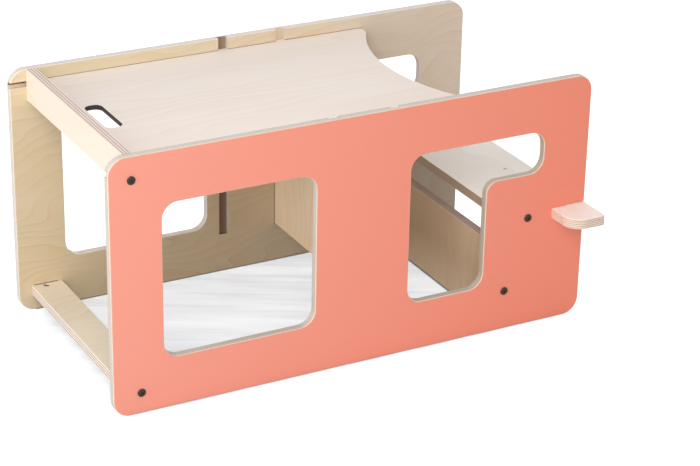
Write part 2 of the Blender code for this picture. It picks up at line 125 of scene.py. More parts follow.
ALONG = Matrix.Rotation(math.pi / 2, 4, "X")
ACROSS = Matrix.Rotation(math.pi / 2, 4, "Z") @ ALONG


def rounded_outline(corners, inset=0.0):
    """Points of a counter-clockwise outline whose corners are (x, y, radius), moved in by inset."""
    count = len(corners)
    points = []
    for i, (x, y, radius) in enumerate(corners):
        before = corners[i - 1]
        after = corners[(i + 1) % count]
        a = Vector((x - before[0], y - before[1])).normalized()
        b = Vector((after[0] - x, after[1] - y)).normalized()
        bend = math.atan2(a.x * b.y - a.y * b.x, a.dot(b))
        side = 1.0 if bend > 0 else -1.0
        inward = Vector((-(a.y + b.y), a.x + b.x)).normalized()
        corner = Vector((x, y)) + inward * (inset / math.cos(bend / 2))
        if radius == 0:
            points.append(tuple(corner))
            continue
        arc = max(radius - side * inset, 1e-5)
        centre = corner - a * arc * math.tan(abs(bend) / 2) + Vector((-a.y, a.x)) * side * arc
        first = math.atan2(-a.x * side, a.y * side)
        for k in range(CORNER_STEPS + 1):
            angle = first + bend * k / CORNER_STEPS
            points.append((centre.x + arc * math.cos(angle), centre.y + arc * math.sin(angle)))
    return points


def rectangle(x0, y0, x1, y1, radius=0.0):
    """The outline of a rectangle between two corners, as a function of how far it is moved in."""
    corners = [(x0, y0, radius), (x1, y0, radius), (x1, y1, radius), (x0, y1, radius)]
    return lambda inset=0.0: rounded_outline(corners, inset)


def board_mesh(name, outline, holes, thickness, ease, place):
    """A plate with eased rims: its outline and holes in XY and Z upwards, then put in place."""
    rim = []
    for k in range(EASE_STEPS + 1 if ease else 1):
        angle = math.pi / 2 * k / EASE_STEPS
        rim.append((ease * (1 - math.cos(angle)), ease * (1 - math.sin(angle))))
    levels = rim + [(thickness - height, inset) for height, inset in reversed(rim)]
    work = bmesh.new()
    rims = {0: [], len(levels) - 1: []}
    for loop, sense in [(outline, 1.0)] + [(hole, -1.0) for hole in holes]:
        rings = []
        for height, inset in levels:
            rings.append([work.verts.new((x, y, height)) for x, y in loop(inset * sense)])
        size = len(rings[0])
        for low, high in zip(rings, rings[1:]):
            for i in range(size):
                j = (i + 1) % size
                work.faces.new((low[i], low[j], high[j], high[i]))
        for level, edges in rims.items():
            ring = rings[level]
            edges += [work.edges.get((ring[i], ring[(i + 1) % size])) for i in range(size)]
    for edges in rims.values():
        bmesh.ops.triangle_fill(work, edges=edges, use_beauty=True)
    bmesh.ops.recalc_face_normals(work, faces=work.faces)
    bmesh.ops.transform(work, matrix=place, verts=work.verts)
    mesh = bpy.data.meshes.new(name)
    work.to_mesh(mesh)
    work.free()
    return mesh


def block_mesh(name, least, most):
    """A plain cutter with its faces along the axes."""
    work = bmesh.new()
    bmesh.ops.create_cube(work, size=1.0)
    middle = (Vector(least) + Vector(most)) / 2
    span = Vector(most) - Vector(least)
    place = Matrix.Translation(middle) @ Matrix.Diagonal((*span, 1.0))
    bmesh.ops.transform(work, matrix=place, verts=work.verts)
    mesh = bpy.data.meshes.new(name)
    work.to_mesh(mesh)
    work.free()
    return mesh


def rod_mesh(name, radius, start, end):
    """A plain round cutter between two points."""
    axis = Vector(end) - Vector(start)
    work = bmesh.new()
    bmesh.ops.create_cone(work, cap_ends=True, segments=40, radius1=radius, radius2=radius,
                          depth=axis.length)
    place = Matrix.Translation((Vector(start) + Vector(end)) / 2)
    place = place @ axis.to_track_quat("Z", "Y").to_matrix().to_4x4()
    bmesh.ops.transform(work, matrix=place, verts=work.verts)
    mesh = bpy.data.meshes.new(name)
    work.to_mesh(mesh)
    work.free()
    return mesh


def finish_piece(name, mesh, cutters, material, slot, *stood_for):
    """Cuts a piece, smooths its shading, and puts it in the place of the nodes it stands for."""
    piece = bpy.data.objects.new(name, mesh)
    bpy.context.scene.collection.objects.link(piece)
    if cutters:
        away = bpy.data.collections.new(name + "_cuts")
        for cutter in cutters:
            away.objects.link(bpy.data.objects.new(cutter.name, cutter))
        bpy.context.scene.collection.children.link(away)
        modifier = piece.modifiers.new("cuts", "BOOLEAN")
        modifier.solver = "EXACT"
        modifier.operand_type = "COLLECTION"
        modifier.collection = away
        depsgraph = bpy.context.evaluated_depsgraph_get()
        cut = bpy.data.meshes.new_from_object(piece.evaluated_get(depsgraph))
        piece.modifiers.clear()
        piece.data = cut
        for cutter in list(away.objects):
            bpy.data.objects.remove(cutter)
        bpy.data.collections.remove(away)
    piece.data.shade_smooth()
    piece.data.set_sharp_from_angle(angle=SMOOTH_ANGLE)
    even = piece.modifiers.new("even_shading", "WEIGHTED_NORMAL")
    even.keep_sharp = True
    piece.data.materials.clear()
    piece.data.materials.append(material)
    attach(piece, "root")
    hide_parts(*stood_for)
    return piece


def srgb(code):
    """Linear colour of an sRGB hex code."""
    values = [int(code[i:i + 2], 16) / 255 for i in (1, 3, 5)]
    linear = [v / 12.92 if v <= 0.04045 else ((v + 0.055) / 1.055) ** 2.4 for v in values]
    return (*linear, 1.0)


def add_node(material, kind, inputs=None, **settings):
    """Adds a node; an input is a value, a socket, or a node whose first live output feeds it.

    On a colour mix, input 0 is the factor, and 6 and 7 are its two colours.
    """
    node = material.node_tree.nodes.new(kind)
    for name, value in settings.items():
        setattr(node, name, value)
    for name, value in (inputs or {}).items():
        if isinstance(value, bpy.types.Node):
            value = next(socket for socket in value.outputs if socket.enabled)
        if isinstance(value, bpy.types.NodeSocket):
            material.node_tree.links.new(value, node.inputs[name])
        else:
            node.inputs[name].default_value = value
    return node


def new_material(name):
    """An empty node material."""
    material = bpy.data.materials.new(name)
    material.use_nodes = True
    material.node_tree.nodes.clear()
    return material


# A wave texture runs through this many bands in one unit of its own space. Noise takes
# grains per metre, along the grain, across it and through the board.
WAVE_PER_UNIT = 20.0 / (2.0 * math.pi)
FIBRES_PER_METRE = (16.0, 760.0, 300.0)
EDGE_GRIT_PER_METRE = 45.0
PLY_GRIT_PER_METRE = 700.0
FAR_FACE_START = -0.3
FAR_FACE_END = 0.4
GLUE_LINE = "#8d7766"
VOID_SHADE = "#4a3a33"


def birch_plywood(name, grain, thick, low, high, face, line, ply_light, ply_dark, seed,
                  far_face=None, figure=0.6, spacing=0.022, flow=0.42, slant=0.0, plies=9,
                  voids=0.25, stains_and_painted_shade=(), knots=()):
    """Rotary-cut birch face veneer, with the plies showing on every cut edge.

    grain and thick are the axes along the grain and through the board, which reaches from
    low to high. face turns to far_face along the board, figure is how strong the growth lines
    are, spacing how far apart they lie, flow how short their bends are along the grain, and
    slant how they turn off it. voids is how dark the gaps in the inner plies are.
    stains_and_painted_shade are boxes of stain or painted shade (least, most, colour at least X,
    colour at most X, how much they cover), and knots (centre, size, colour).
    """
    m = new_material(name)
    wide = ({0, 1, 2} - {grain, thick}).pop()
    where = add_node(m, "ShaderNodeTexCoord")
    xyz = add_node(m, "ShaderNodeSeparateXYZ", {0: where.outputs["Object"]}).outputs
    board = add_node(m, "ShaderNodeCombineXYZ", {0: xyz[grain], 1: xyz[wide], 2: xyz[thick]})

    # Growth lines: a peeling knife follows the year rings, so they wander along the board as
    # thin lines 2 to 3 mm wide, which rise, hook back on themselves and fade out in places.
    # A power narrows each tooth of the wave to a line, with a soft band on one side of it.
    across = 1.0 / (WAVE_PER_UNIT * spacing)
    flame_space = add_node(m, "ShaderNodeMapping", {
        0: board, "Location": (seed, seed * 1.7, seed * 0.4), "Rotation": (0.0, 0.0, slant),
        "Scale": (across * flow, across, 0.0)})
    rings = add_node(m, "ShaderNodeTexWave", {
        "Vector": flame_space, "Scale": 1.0, "Distortion": 18.0, "Detail": 0.8,
        "Detail Scale": 1.05, "Detail Roughness": 0.35,
    }, bands_direction="Y", wave_profile="SAW")
    ring_line = add_node(m, "ShaderNodeMath", {0: rings.outputs["Fac"], 1: 7.0}, operation="POWER")
    ring_band = add_node(m, "ShaderNodeMath", {0: rings.outputs["Fac"], 1: 0.5},
                         operation="MULTIPLY")
    patches = add_node(m, "ShaderNodeTexNoise", {"Vector": flame_space, "Scale": 0.7,
                                                 "Detail": 1.0})
    shown = add_node(m, "ShaderNodeMapRange", {"Value": patches, "From Min": 0.36,
                                               "From Max": 0.58, "To Min": 0.3})
    flame = add_node(m, "ShaderNodeMath", {0: ring_line, 1: ring_band}, operation="MAXIMUM")
    flame = add_node(m, "ShaderNodeMath", {0: flame, 1: shown}, operation="MULTIPLY")
    flame = add_node(m, "ShaderNodeMath", {0: flame, 1: figure}, operation="MULTIPLY")

    # Fibres: fine streaks along the grain, 60 mm long and drawn 1.3 mm wide, which is some
    # ten times coarser than real, so that they show.
    fibre_space = add_node(m, "ShaderNodeMapping", {0: board, "Scale": FIBRES_PER_METRE})
    fibres = add_node(m, "ShaderNodeTexNoise", {"Vector": fibre_space, "Scale": 1.0,
                                                "Detail": 2.0})
    cloud = add_node(m, "ShaderNodeTexNoise", {"Vector": flame_space, "Scale": 0.8,
                                               "Detail": 2.0})
    tone = srgb(face)
    if far_face:
        span = add_node(m, "ShaderNodeMapRange", {
            "Value": xyz[grain], "From Min": FAR_FACE_START, "From Max": FAR_FACE_END})
        tone = add_node(m, "ShaderNodeMix", {0: span, 6: srgb(face), 7: srgb(far_face)},
                        data_type="RGBA")
    clouded = add_node(m, "ShaderNodeMapRange", {"Value": cloud, "From Min": 0.35,
                                                 "From Max": 0.7, "To Max": 0.3 * figure})
    tone = add_node(m, "ShaderNodeMix", {0: clouded, 6: tone, 7: srgb(line)}, data_type="RGBA")
    streaked = add_node(m, "ShaderNodeMapRange", {"Value": fibres, "From Min": 0.35,
                                                  "From Max": 0.75, "To Max": 0.12})
    tone = add_node(m, "ShaderNodeMix", {0: streaked, 6: tone, 7: srgb(line)}, data_type="RGBA")
    face_tone = add_node(m, "ShaderNodeMix", {0: flame, 6: tone, 7: srgb(line)},
                         data_type="RGBA")

    # Edge: each ply's grain turns across the last one's, so they show light and dark in turn,
    # with a thin dark glue line between. Fewer plies are drawn than real, so that each shows.
    ply = (high - low) / plies
    pair = 1.0 / (WAVE_PER_UNIT * 2.0 * ply)
    ply_space = add_node(m, "ShaderNodeMapping", {
        0: board, "Location": (0.0, 0.0, -low * pair), "Scale": (0.0, 0.0, pair)})
    turns = add_node(m, "ShaderNodeTexWave", {"Vector": ply_space, "Scale": 1.0,
                                              "Phase Offset": -math.pi / 2},
                     bands_direction="Z")
    plies_seen = add_node(m, "ShaderNodeValToRGB", {0: turns.outputs["Fac"]})
    stops = plies_seen.color_ramp.elements
    for position, colour in ((0.46, ply_light), (0.56, GLUE_LINE), (0.72, ply_dark)):
        stop = stops.new(position)
        stop.color = srgb(colour)
    stops[0].color = srgb(ply_light)
    stops[-1].color = srgb(ply_dark)
    # Grit: the cut fibres of each ply, in runs 22 mm long and 1.4 mm high, about one ply.
    grit_space = add_node(m, "ShaderNodeMapping", {
        0: where.outputs["Object"],
        "Scale": [PLY_GRIT_PER_METRE if axis == thick else EDGE_GRIT_PER_METRE
                  for axis in range(3)]})
    grit = add_node(m, "ShaderNodeTexNoise", {"Vector": grit_space, "Scale": 1.0,
                                              "Detail": 2.0})
    gritty = add_node(m, "ShaderNodeMapRange", {"Value": grit, "From Min": 0.38,
                                                "From Max": 0.75, "To Max": 0.22})
    edge_tone = add_node(m, "ShaderNodeMix", {0: gritty, 6: plies_seen, 7: srgb(ply_dark)},
                         data_type="RGBA")
    # Short dark voids, where an inner ply has a gap.
    joint = add_node(m, "ShaderNodeMapRange", {"Value": grit, "From Min": 0.70,
                                               "From Max": 0.74, "To Max": voids})
    edge_tone = add_node(m, "ShaderNodeMix", {0: joint, 6: edge_tone, 7: srgb(VOID_SHADE)},
                         data_type="RGBA")

    # A face shows where the surface looks through the board's thickness.
    facing = add_node(m, "ShaderNodeVectorMath", {
        0: where.outputs["Normal"], 1: [float(axis == thick) for axis in range(3)],
    }, operation="DOT_PRODUCT").outputs["Value"]
    facing = add_node(m, "ShaderNodeMath", {0: facing}, operation="ABSOLUTE")
    is_face = add_node(m, "ShaderNodeMapRange", {"Value": facing, "From Min": 0.7,
                                                 "From Max": 0.9})
    colour = add_node(m, "ShaderNodeMix", {0: is_face, 6: edge_tone, 7: face_tone},
                      data_type="RGBA")
    # Knots: dark spots that fade out at 1.2 times their size.
    for centre, size, knot in knots:
        away = add_node(m, "ShaderNodeVectorMath", {0: where.outputs["Object"], 1: centre},
                        operation="SUBTRACT")
        away = add_node(m, "ShaderNodeVectorMath", {0: away, 1: size}, operation="DIVIDE")
        away = add_node(m, "ShaderNodeVectorMath", {0: away}, operation="LENGTH")
        dark = add_node(m, "ShaderNodeMapRange", {"Value": away.outputs["Value"],
                                                  "From Min": 1.2, "From Max": 0.4})
        colour = add_node(m, "ShaderNodeMix", {0: dark, 6: colour, 7: srgb(knot)},
                          data_type="RGBA")
    # Each box of stain or painted shade covers what lies within it, on all three axes.
    for least, most, near, far, share in stains_and_painted_shade:
        cover = share
        for axis in range(3):
            middle = (least[axis] + most[axis]) / 2
            within = add_node(m, "ShaderNodeMath", {0: xyz[axis], 1: middle,
                                                    2: most[axis] - middle},
                              operation="COMPARE")
            cover = add_node(m, "ShaderNodeMath", {0: within, 1: cover}, operation="MULTIPLY")
        along = add_node(m, "ShaderNodeMapRange", {"Value": xyz[0], "From Min": least[0],
                                                   "From Max": most[0]})
        stain_and_shade_tone = add_node(m, "ShaderNodeMix", {0: along, 6: srgb(near), 7: srgb(far)},
                           data_type="RGBA")
        stain_and_shade_tone = add_node(m, "ShaderNodeMix", {0: streaked, 6: stain_and_shade_tone, 7: srgb(line)},
                           data_type="RGBA")
        colour = add_node(m, "ShaderNodeMix", {0: cover, 6: colour, 7: stain_and_shade_tone},
                          data_type="RGBA")

    # The varnish is satin, and it sinks into the fibres in furrows of up to 0.06 mm.
    rough = add_node(m, "ShaderNodeMapRange", {"Value": fibres, "From Min": 0.3, "From Max": 0.8,
                                               "To Min": 0.42, "To Max": 0.56})
    bump = add_node(m, "ShaderNodeBump", {"Height": fibres, "Distance": 0.00006,
                                          "Strength": 0.35})
    shader = add_node(m, "ShaderNodeBsdfPrincipled", {
        "Base Color": colour,
        "Roughness": rough,
        "Normal": bump,
        "Specular IOR Level": 0.35,
    })
    add_node(m, "ShaderNodeOutputMaterial", {"Surface": shader})
    return m


def panel_outline():
    """The panel seen from the front, with the slot for the seat's neck at the right end."""
    seat_least, seat_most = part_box("seat_board")
    low = seat_least.z - FIT_GAP
    high = seat_most.z + FIT_GAP
    corners = [
        (LEFT, 0.0, PANEL_CORNER),
        (RIGHT, 0.0, PANEL_CORNER),
        (RIGHT, low, 0.0),
        (RIGHT - SLOT_LENGTH, low, 0.0),
        (RIGHT - SLOT_LENGTH, high, 0.0),
        (RIGHT, high, 0.0),
        (RIGHT, PANEL_HEIGHT, PANEL_CORNER),
        (LEFT, PANEL_HEIGHT, PANEL_CORNER),
    ]
    return lambda inset=0.0: rounded_outline(corners, inset)


def panel_windows():
    """The square window and the one shaped like an L lying on its back."""
    low = WINDOW_MARGIN
    high = PANEL_HEIGHT - WINDOW_MARGIN
    square = rectangle(LEFT + WINDOW_MARGIN, low, POST_START, high, WINDOW_CORNER)
    leg_end = L_WINDOW_START + LEG_LENGTH
    arm_end = RIGHT - WINDOW_MARGIN
    corners = [
        (L_WINDOW_START, low, WINDOW_CORNER),
        (leg_end, low, WINDOW_CORNER),
        (leg_end, high - ARM_HEIGHT, ARM_CORNER),
        (arm_end, high - ARM_HEIGHT, WINDOW_CORNER),
        (arm_end, high, WINDOW_CORNER),
        (L_WINDOW_START, high, WINDOW_CORNER),
    ]
    return [square, lambda inset=0.0: rounded_outline(corners, inset)]


def node_middle(node):
    """The middle of a solid's box."""
    least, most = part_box(node)
    return (least + most) / 2


def bolt_holes(side, least, most):
    """Cutters for the four bolts that pass through the panel or the sheet of one side."""
    holes = []
    for board in BOLTED_BOARDS:
        middle = node_middle(f"{board}_bolt_{side}")
        holes.append(rod_mesh(board + "_hole", BORE_RADIUS,
                              (middle.x, least.y - CUT_PAST, middle.z),
                              (middle.x, most.y + CUT_PAST, middle.z)))
    return holes


# A box of stain or painted shade holds the surface that it colours. On a panel's inner face
# it reaches from STAIN_PAST in front of the face to SKIN_DEPTH behind it, and in a groove from
# WALL_START behind the face to STAIN_PAST past the groove's floor.
TABLE_LEAST, TABLE_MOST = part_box("tabletop")
PLATFORM_LEAST, PLATFORM_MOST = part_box("platform")
STAIN_PAST = 0.001
SKIN_DEPTH = 0.0012
WALL_START = 0.002
GROOVE_ARRIS = 0.0004
# The next tints paint shade: along the table's edge, in the first groove, in the seams, where the
# table's groove runs out, and on the walls of the window beside the seat.
TABLE_SEAM_SHADE = "#8a6a52"
GROOVE_SCORCH_AND_SHADE_TINTS = (("#7d6350", "#a08c78"), ("#e0cdb2", "#dcc8ad"))
SEAM_SHADE = "#6e5544"
SEAM_WIDTH = 0.0012
RAIL_SEAM_START = 0.004
RAIL_SEAM_END = 0.008
GROOVE_END_SHADE_TINTS = ("#8f5f4a", "#4d3229")
GROOVE_END_SHADE_START = 0.004
GROOVE_END_SHADE_PAST = 0.0008
GROOVE_END_SHADE_OUT = 0.003
GROOVE_END_SHADE_COVER = 0.9
REVEAL_SHADE_TINTS = ("#c4b6aa", "#b3a48f")
REVEAL_SHADE_PAST = 0.002
REVEAL_SHADE_COVER = 0.75
PLY_TONES = {"front": ("#e4d9cd", "#bcaca2"), "back": ("#eae2da", "#cfc2bb")}
for side, sign, least, most in (("front", -1.0, PANEL_LEAST, PANEL_MOST),
                                ("back", 1.0, BACK_LEAST, BACK_MOST)):
    inner_face = sign * INNER
    cutters = []
    groove_side = sorted((inner_face - sign * CUT_PAST, inner_face + sign * GROOVE_DEPTH))
    for i, start in enumerate(GROOVE_STARTS):
        corners = [
            (start, GROOVE_FOOT, GROOVE_FOOT_CORNER),
            (start + GROOVE_WIDTH, GROOVE_FOOT, GROOVE_FOOT_CORNER),
            (start + GROOVE_WIDTH, PANEL_HEIGHT + CUT_PAST, 0.0),
            (start, PANEL_HEIGHT + CUT_PAST, 0.0),
        ]
        place = Matrix.Translation((0.0, groove_side[1], 0.0)) @ ALONG
        cutters.append(board_mesh(f"groove_{i}", lambda inset=0.0, c=corners: rounded_outline(c),
                                  [], groove_side[1] - groove_side[0], 0.0, place))
    cutters.append(block_mesh(
        "table_groove",
        (LEFT - CUT_PAST, groove_side[0], TABLE_LEAST.z - FIT_GAP),
        (TABLE_MOST.x + FIT_GAP, groove_side[1], TABLE_MOST.z + FIT_GAP),
    ))
    cutters += bolt_holes(side, least, most)
    mesh = board_mesh(side + "_side_panel", panel_outline(), panel_windows(), PANEL_CORE,
                      PANEL_EASE, Matrix.Translation((0.0, most.y, 0.0)) @ ALONG)
    walls = sorted((inner_face + sign * WALL_START,
                    inner_face + sign * (GROOVE_DEPTH + STAIN_PAST)))
    skin = sorted((inner_face - sign * STAIN_PAST, inner_face + sign * SKIN_DEPTH))
    # Painted shade: a dark line on the inner face just above the tabletop, where it meets the panel.
    stains_and_painted_shade = [((LEFT - STAIN_PAST, skin[0], TABLE_MOST.z),
               (TABLE_MOST.x, skin[1], TABLE_MOST.z + STAIN_PAST), TABLE_SEAM_SHADE, TABLE_SEAM_SHADE, 1.0)]
    # The first groove is tinted dark brown, partly the cutter's scorch and partly painted shade that
    # deepens towards its left wall; the second holds the platform and keeps a tan tint.
    for start, tints in zip(GROOVE_STARTS, GROOVE_SCORCH_AND_SHADE_TINTS):
        stains_and_painted_shade.append(((start + GROOVE_ARRIS, walls[0], GROOVE_FOOT - CUT_PAST),
                       (start + GROOVE_WIDTH - GROOVE_ARRIS, walls[1], PANEL_HEIGHT + CUT_PAST),
                       *tints, 1.0))
    # Painted shade in the seams: along the platform, on the bottom rail and at the floor.
    rail_least, rail_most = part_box("bottom_rail")
    for seam_least, seam_most in (
        ((PLATFORM_LEAST.x - SEAM_WIDTH, GROOVE_FOOT), (PLATFORM_LEAST.x, TABLE_LEAST.z)),
        ((rail_least.x + RAIL_SEAM_START, rail_most.z - STAIN_PAST),
         (rail_most.x - RAIL_SEAM_END, rail_most.z + STAIN_PAST)),
        ((LEFT + PANEL_CORNER, 0.0), (RIGHT - PANEL_CORNER, SEAM_WIDTH)),
    ):
        stains_and_painted_shade.append(((seam_least[0], skin[0], seam_least[1]),
                       (seam_most[0], skin[1], seam_most[1]), SEAM_SHADE, SEAM_SHADE, 1.0))
    if side == "back":
        # The table's groove runs out past the top rail, where it is painted dark brown as shade.
        stains_and_painted_shade.append(((LEFT - STAIN_PAST, walls[0] - GROOVE_END_SHADE_OUT, TABLE_LEAST.z + GROOVE_END_SHADE_START),
                       (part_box("top_rail")[0].x, walls[1] + STAIN_PAST,
                        TABLE_MOST.z + GROOVE_END_SHADE_PAST),
                       *GROOVE_END_SHADE_TINTS, GROOVE_END_SHADE_COVER))
    else:
        # Painted shade: the walls of the window beside the seat are painted browner, darkest towards
        # the seat.
        stains_and_painted_shade.append(((L_WINDOW_START - REVEAL_SHADE_PAST, least.y + SKIN_DEPTH,
                        WINDOW_MARGIN - REVEAL_SHADE_PAST),
                       (RIGHT - WINDOW_MARGIN + REVEAL_SHADE_PAST, most.y - SKIN_DEPTH,
                        PANEL_HEIGHT - WINDOW_MARGIN + REVEAL_SHADE_PAST),
                       *REVEAL_SHADE_TINTS, REVEAL_SHADE_COVER))
    wood = birch_plywood(side + "_panel_birch_plywood", 0, 1, least.y, most.y, "#dfd0b0",
                         "#d0a060", *PLY_TONES[side], seed=1.7 + sign,
                         far_face="#e1d4c4", figure=0.44, slant=-0.4, voids=0.06, stains_and_painted_shade=stains_and_painted_shade)
    finish_piece(side + "_side_panel", mesh, cutters, wood, "birch_plywood", side + "_panel")

# Coloured sheets: a coral laminate, 0.6 mm thick, glued on each panel's outer face.
# It is a smooth satin plastic, trimmed a little inside the panel's edges.
SHEET_SETBACK = 0.0015
SHEET_CLOUDS_PER_METRE = 9.0
SHEET_GRIT_PER_METRE = 700.0


def coral_laminate():
    """Satin coral plastic, a little cloudy as a pressed sheet is, with a painted sheen that pales it
    towards the head.
    """
    m = new_material("coral_laminate")
    where = add_node(m, "ShaderNodeTexCoord")
    along = add_node(m, "ShaderNodeSeparateXYZ", {0: where.outputs["Object"]}).outputs[0]
    # Painted sheen: the colour is paler towards the left end, where a white haze of light lies on
    # the sheet.
    painted_sheen_fade = add_node(m, "ShaderNodeMapRange", {"Value": along, "From Min": LEFT,
                                                  "From Max": RIGHT})
    # Clouds 110 mm wide, and a pressed grain of 1.4 mm, which is drawn coarser than real.
    cloud = add_node(m, "ShaderNodeTexNoise", {"Vector": where.outputs["Object"],
                                               "Scale": SHEET_CLOUDS_PER_METRE, "Detail": 3.0})
    clouded = add_node(m, "ShaderNodeMapRange", {"Value": cloud, "To Min": -0.06,
                                                 "To Max": 0.06})
    share = add_node(m, "ShaderNodeMath", {0: painted_sheen_fade, 1: clouded}, operation="ADD")
    tint = add_node(m, "ShaderNodeMix", {0: share, 6: srgb("#f49c87"), 7: srgb("#f58d73")},
                    data_type="RGBA")
    grit = add_node(m, "ShaderNodeTexNoise", {"Vector": where.outputs["Object"],
                                              "Scale": SHEET_GRIT_PER_METRE, "Detail": 2.0})
    bump = add_node(m, "ShaderNodeBump", {"Height": grit, "Distance": 0.00004,
                                          "Strength": 0.3})
    shader = add_node(m, "ShaderNodeBsdfPrincipled", {
        "Base Color": tint,
        "Roughness": 0.48,
        "Specular IOR Level": 0.4,
        "Normal": bump,
    })
    add_node(m, "ShaderNodeOutputMaterial", {"Surface": shader})
    return m


coral = coral_laminate()
for side in ("front", "back"):
    least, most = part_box(side + "_laminate")
    outer = panel_outline()
    holes = [lambda inset=0.0, w=window: w(inset - SHEET_SETBACK) for window in panel_windows()]
    mesh = board_mesh(side + "_coral_sheet", lambda inset=0.0: outer(inset + SHEET_SETBACK),
                      holes, most.y - least.y, 0.0,
                      Matrix.Translation((0.0, most.y, 0.0)) @ ALONG)
    finish_piece(side + "_coral_sheet", mesh, bolt_holes(side, least, most), coral, "coral_laminate",
                 side + "_laminate")

# Tabletop: a thin birch board, slid into the panels' grooves from the left.
# Its hollow right end leaves room for a child's belly, and the wall of its hand hole is
# scorched as dark as charcoal by the cutter.
TABLE_HOLLOW = 0.350
TABLE_HOLLOW_CENTRE = 0.526
TABLE_TIP = 0.030
TABLE_TIP_INSET = 0.0195
HAND_HOLE_START = -0.3775
HAND_HOLE_WIDTH = 0.0305
HAND_HOLE_LENGTH = 0.108
HAND_HOLE_SHIFT = 0.005
HAND_HOLE_CORNER = 0.013
TABLE_EASE = 0.0006
TIP_STEPS = 18
HOLLOW_STEPS = 56
CHAR = "#2f2628"
CHAR_REACH = 0.0003
CHAR_BELOW_FACE = 0.0002


def arc_points(x, y, radius, first, last, steps):
    """Points along an arc about (x, y), from one angle to another."""
    turns = [first + (last - first) * k / steps for k in range(steps + 1)]
    return [(x + radius * math.cos(a), y + radius * math.sin(a)) for a in turns]


def table_outline(inset=0.0):
    """Straight at the rail, with a hollow right end between two rounded tips."""
    side = TABLE_MOST.y - inset
    tip_y = TABLE_MOST.y - TABLE_TIP_INSET
    lean = math.asin(tip_y / (TABLE_HOLLOW + TABLE_TIP))
    tip_x = TABLE_HOLLOW_CENTRE - (TABLE_HOLLOW + TABLE_TIP) * math.cos(lean)
    tip = TABLE_TIP - inset
    start = math.asin((side - tip_y) / tip)
    points = [(TABLE_LEAST.x + inset, side), (TABLE_LEAST.x + inset, -side)]
    points += arc_points(tip_x, -tip_y, tip, -start, lean, TIP_STEPS)
    points += arc_points(TABLE_HOLLOW_CENTRE, 0.0, TABLE_HOLLOW + inset, math.pi + lean,
                         math.pi - lean, HOLLOW_STEPS)[1:-1]
    points += arc_points(tip_x, tip_y, tip, -lean, start, TIP_STEPS)
    return points


near = HAND_HOLE_SHIFT - HAND_HOLE_LENGTH / 2
far = HAND_HOLE_SHIFT + HAND_HOLE_LENGTH / 2
hand_hole = rectangle(HAND_HOLE_START, near, HAND_HOLE_START + HAND_HOLE_WIDTH, far,
                      HAND_HOLE_CORNER)
char = [((HAND_HOLE_START - CHAR_REACH, near - CHAR_REACH, TABLE_LEAST.z - STAIN_PAST),
         (HAND_HOLE_START + HAND_HOLE_WIDTH + CHAR_REACH, far + CHAR_REACH,
          TABLE_MOST.z - CHAR_BELOW_FACE),
         CHAR, CHAR, 1.0)]
table_wood = birch_plywood("tabletop_birch_plywood", 0, 2, TABLE_LEAST.z, TABLE_MOST.z,
                           "#eee3da", "#dfc5ab", "#e6d9cc", "#c0a995", seed=5.2, figure=0.6,
                           spacing=0.030, flow=0.26, plies=5, stains_and_painted_shade=char)
table_mesh = board_mesh("table_board", table_outline, [hand_hole], TABLE_MOST.z - TABLE_LEAST.z,
                        TABLE_EASE, Matrix.Translation((0.0, 0.0, TABLE_LEAST.z)))
finish_piece("table_board", table_mesh, [], table_wood, "pale_birch_plywood", "tabletop")

# Platform: the board a child stands on when the tower is upright. It slides in the second
# pair of grooves and shows its veneer upright, as it stands on its edge here.
platform_wood = birch_plywood("platform_birch_plywood", 2, 0, PLATFORM_LEAST.x, PLATFORM_MOST.x,
                              "#f1dabb", "#cba67a", "#e6dacd", "#b9a392", seed=8.4, figure=0.35,
                              spacing=0.030, plies=11)
platform_mesh = board_mesh(
    "standing_board",
    rectangle(PLATFORM_LEAST.y, PLATFORM_LEAST.z, PLATFORM_MOST.y, PLATFORM_MOST.z,
              GROOVE_FOOT_CORNER),
    [], PLATFORM_MOST.x - PLATFORM_LEAST.x, EASED_EDGE,
    Matrix.Translation((PLATFORM_LEAST.x, 0.0, 0.0)) @ ACROSS,
)
finish_piece("standing_board", platform_mesh, [], platform_wood, "birch_plywood", "platform")

# Rails: two plain boards across the left end, the top one on its edge and the bottom one
# flat, bolted through the panels. A cross hole near each end takes the bolt's barrel nut.
NUT_HOLE = 0.0064


def nut_cutters(board, axis, face):
    """The cross holes for a board's two barrel nuts, open in one face."""
    holes = []
    for side in ("front", "back"):
        least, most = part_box(f"{board}_nut_{side}")
        start = (least + most) / 2
        end = start.copy()
        start[axis] = (least if face > 0 else most)[axis] - face * FIT_GAP
        end[axis] += face * (most[axis] - least[axis] + CUT_PAST)
        holes.append(rod_mesh(f"{board}_{side}_nut_hole", NUT_HOLE, start, end))
    return holes


def bolt_cutters(board):
    """The bores for the two bolts, from the ends of a board to past their nuts."""
    holes = []
    for side, sign in (("front", -1.0), ("back", 1.0)):
        least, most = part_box(f"{board}_bolt_{side}")
        middle = (least + most) / 2
        tip = most.y if sign < 0 else least.y
        holes.append(rod_mesh(f"{board}_{side}_bore", BORE_RADIUS,
                              (middle.x, tip - sign * FIT_GAP, middle.z),
                              (middle.x, sign * (INNER + CUT_PAST), middle.z)))
    return holes


least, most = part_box("top_rail")
rail_wood = birch_plywood("top_rail_birch_plywood", 1, 0, least.x, most.x, "#f0e1d0",
                          "#e0c39c", "#eedcd1", "#bda297", seed=11.3, figure=0.35,
                          plies=7, voids=0.1)
mesh = board_mesh("upper_rail", rectangle(least.y, least.z, most.y, most.z), [],
                  most.x - least.x, EASED_EDGE,
                  Matrix.Translation((least.x, 0.0, 0.0)) @ ACROSS)
finish_piece("upper_rail", mesh, nut_cutters("top_rail", 0, 1.0) + bolt_cutters("top_rail"),
             rail_wood, "birch_plywood", "top_rail")

